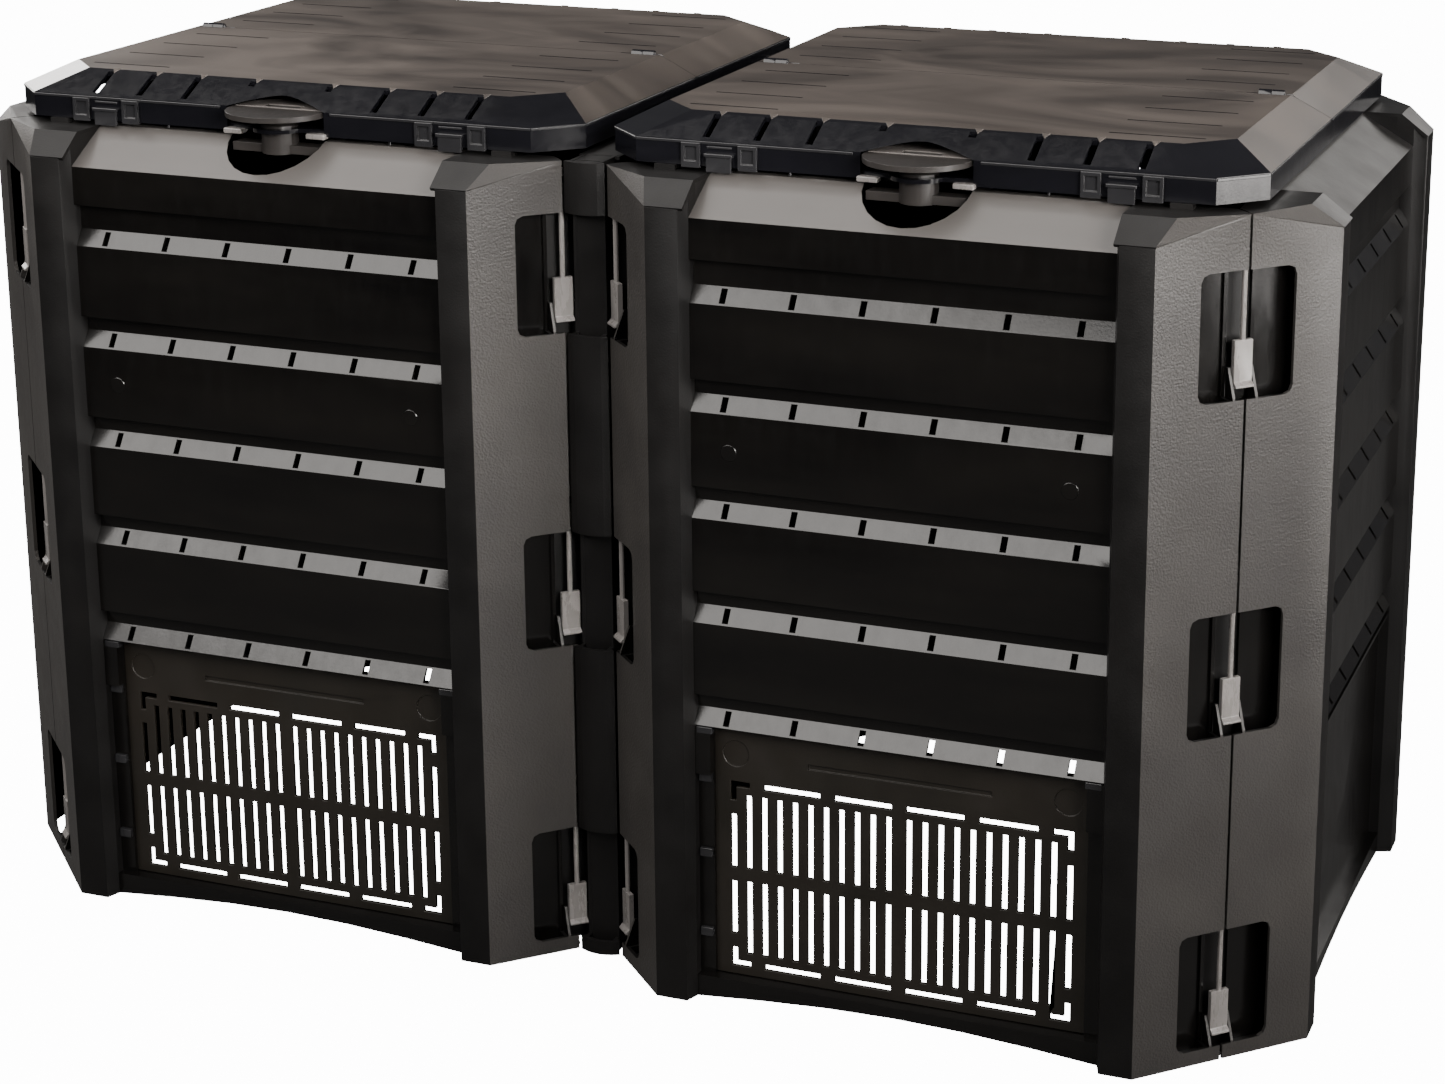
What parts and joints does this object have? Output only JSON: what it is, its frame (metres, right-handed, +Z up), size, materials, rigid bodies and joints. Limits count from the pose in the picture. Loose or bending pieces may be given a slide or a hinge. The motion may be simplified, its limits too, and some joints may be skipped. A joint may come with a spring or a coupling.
{
  "type": "compost bin",
  "caption": "Modular garden compost bin of louvred wall panels held by connector pins, with split hinged lids, turn knobs and lift-up slotted emptying hatches.",
  "frame": {"origin": "on the ground under the middle of the divider wall, at the centre of the footprint", "axes": "+Z up, +X to the right seen from the hatch side, -Y towards the hatches"},
  "size_m": [1.35, 0.719, 0.8285],
  "materials": {
    "panel": "fine-grained satin black",
    "lid": "satin warm black with faint flow streaks",
    "fitting": "semi-gloss black",
    "hatch": "satin brown-black",
    "steel": "plain rod"
  },
  "bodies": {
    "bin": {"back_wall_left": "panel", "back_wall_right": "panel", "divider_wall": "panel", "front_wall_left": "panel", "front_wall_right": "panel", "hinge_pin_left_inner": "steel", "hinge_pin_left_outer": "steel", "hinge_pin_right_inner": "steel", "hinge_pin_right_outer": "steel", "pin_left_back_left_high": "fitting", "pin_left_back_left_low": "fitting", "pin_left_back_left_middle": "fitting", "pin_left_back_right_high": "fitting", "pin_left_back_right_low": "fitting", "pin_left_back_right_middle": "fitting", "pin_left_front_left_high": "fitting", "pin_left_front_left_low": "fitting", "pin_left_front_left_middle": "fitting", "pin_left_front_right_high": "fitting", "pin_left_front_right_low": "fitting", "pin_left_front_right_middle": "fitting", "pin_right_back_left_high": "fitting", "pin_right_back_left_low": "fitting", "pin_right_back_left_middle": "fitting", "pin_right_back_right_high": "fitting", "pin_right_back_right_low": "fitting", "pin_right_back_right_middle": "fitting", "pin_right_front_left_high": "fitting", "pin_right_front_left_low": "fitting", "pin_right_front_left_middle": "fitting", "pin_right_front_right_high": "fitting", "pin_right_front_right_low": "fitting", "pin_right_front_right_middle": "fitting", "side_wall_left": "panel", "side_wall_right": "panel"},
    "lid_front_left": {"lid_front_left": "lid"},
    "knob_front_left": {"knob_front_left": "fitting"},
    "lid_back_left": {"lid_back_left": "lid"},
    "knob_back_left": {"knob_back_left": "fitting"},
    "hatch_left": {"hatch_left": "hatch"},
    "lid_front_right": {"lid_front_right": "lid"},
    "knob_front_right": {"knob_front_right": "fitting"},
    "lid_back_right": {"lid_back_right": "lid"},
    "knob_back_right": {"knob_back_right": "fitting"},
    "hatch_right": {"hatch_right": "hatch"}
  },
  "joints": [
    {"name": "lid_front_left_hinge", "type": "hinge", "parent": "bin", "child": "lid_front_left", "pos_m": [-0.3155, 0, 0.8245], "axis": [-1, 0, 0], "range_deg": [0, 85]},
    {"name": "knob_front_left_turn", "type": "hinge", "parent": "lid_front_left", "child": "knob_front_left", "pos_m": [-0.3155, -0.288, 0.79], "axis": [0, 0, 1], "range_deg": [0, 90]},
    {"name": "lid_back_left_hinge", "type": "hinge", "parent": "bin", "child": "lid_back_left", "pos_m": [-0.3155, 0, 0.8245], "axis": [1, 0, 0], "range_deg": [0, 85]},
    {"name": "knob_back_left_turn", "type": "hinge", "parent": "lid_back_left", "child": "knob_back_left", "pos_m": [-0.3155, 0.288, 0.79], "axis": [0, 0, 1], "range_deg": [0, 90]},
    {"name": "hatch_left_lift", "type": "slide", "parent": "bin", "child": "hatch_left", "axis": [0, 0, 1], "range_m": [0, 0.18]},
    {"name": "lid_front_right_hinge", "type": "hinge", "parent": "bin", "child": "lid_front_right", "pos_m": [0.3155, 0, 0.8245], "axis": [-1, 0, 0], "range_deg": [0, 85]},
    {"name": "knob_front_right_turn", "type": "hinge", "parent": "lid_front_right", "child": "knob_front_right", "pos_m": [0.3155, -0.288, 0.79], "axis": [0, 0, 1], "range_deg": [0, 90]},
    {"name": "lid_back_right_hinge", "type": "hinge", "parent": "bin", "child": "lid_back_right", "pos_m": [0.3155, 0, 0.8245], "axis": [1, 0, 0], "range_deg": [0, 85]},
    {"name": "knob_back_right_turn", "type": "hinge", "parent": "lid_back_right", "child": "knob_back_right", "pos_m": [0.3155, 0.288, 0.79], "axis": [0, 0, 1], "range_deg": [0, 90]},
    {"name": "hatch_right_lift", "type": "slide", "parent": "bin", "child": "hatch_right", "axis": [0, 0, 1], "range_m": [0, 0.18]}
  ]
}
